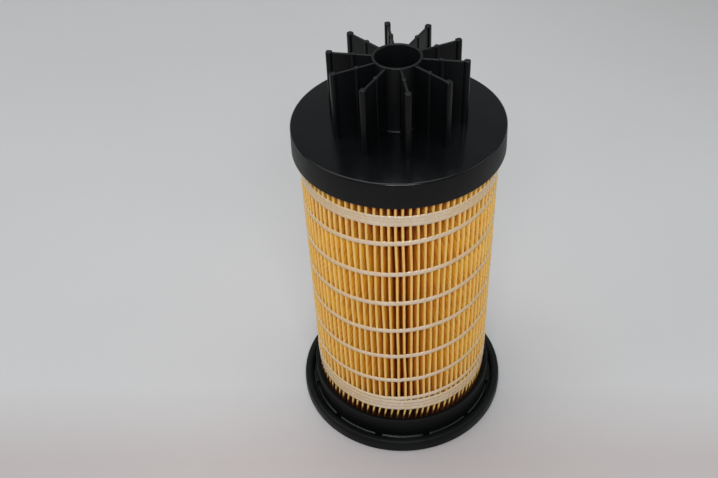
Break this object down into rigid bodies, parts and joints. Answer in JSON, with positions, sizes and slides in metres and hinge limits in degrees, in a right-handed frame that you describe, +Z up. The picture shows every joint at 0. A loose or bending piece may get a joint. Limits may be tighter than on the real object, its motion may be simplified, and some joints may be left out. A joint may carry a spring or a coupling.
{
  "type": "fuel filter",
  "caption": "Drop-in fuel filter insert: pleated paper cylinder with spiral thread, black end caps, finned top spacer and a sealing ring round the base.",
  "frame": {"origin": "centre of the base underside, on the axis", "axes": "+Z up the axis from the sealing base to the finned spacer; -Y is the front"},
  "size_m": [0.0984, 0.0984, 0.1824],
  "materials": {
    "black_plastic": "satin moulded black nylon",
    "filter_paper": "resin-impregnated amber filter paper",
    "thread": "cream adhesive-soaked thread",
    "potting": "set adhesive",
    "core_plastic": "moulded dark grey plastic",
    "screen": "fine woven gauze",
    "rubber": "moulded black rubber"
  },
  "bodies": {
    "root": {"spacer_star": "black_plastic", "top_end_cap": "black_plastic", "top_potting": "potting", "pleated_media": "filter_paper", "seam_strip": "potting", "spiral_roving": "thread", "top_wrap": "thread", "bottom_wrap": "thread", "centre_tube": "core_plastic", "separator_screen": "screen", "bottom_potting": "potting", "bottom_end_cap": "black_plastic", "outlet_grommet": "rubber", "base_ring": "black_plastic", "rim_seal": "rubber"}
  },
  "joints": []
}
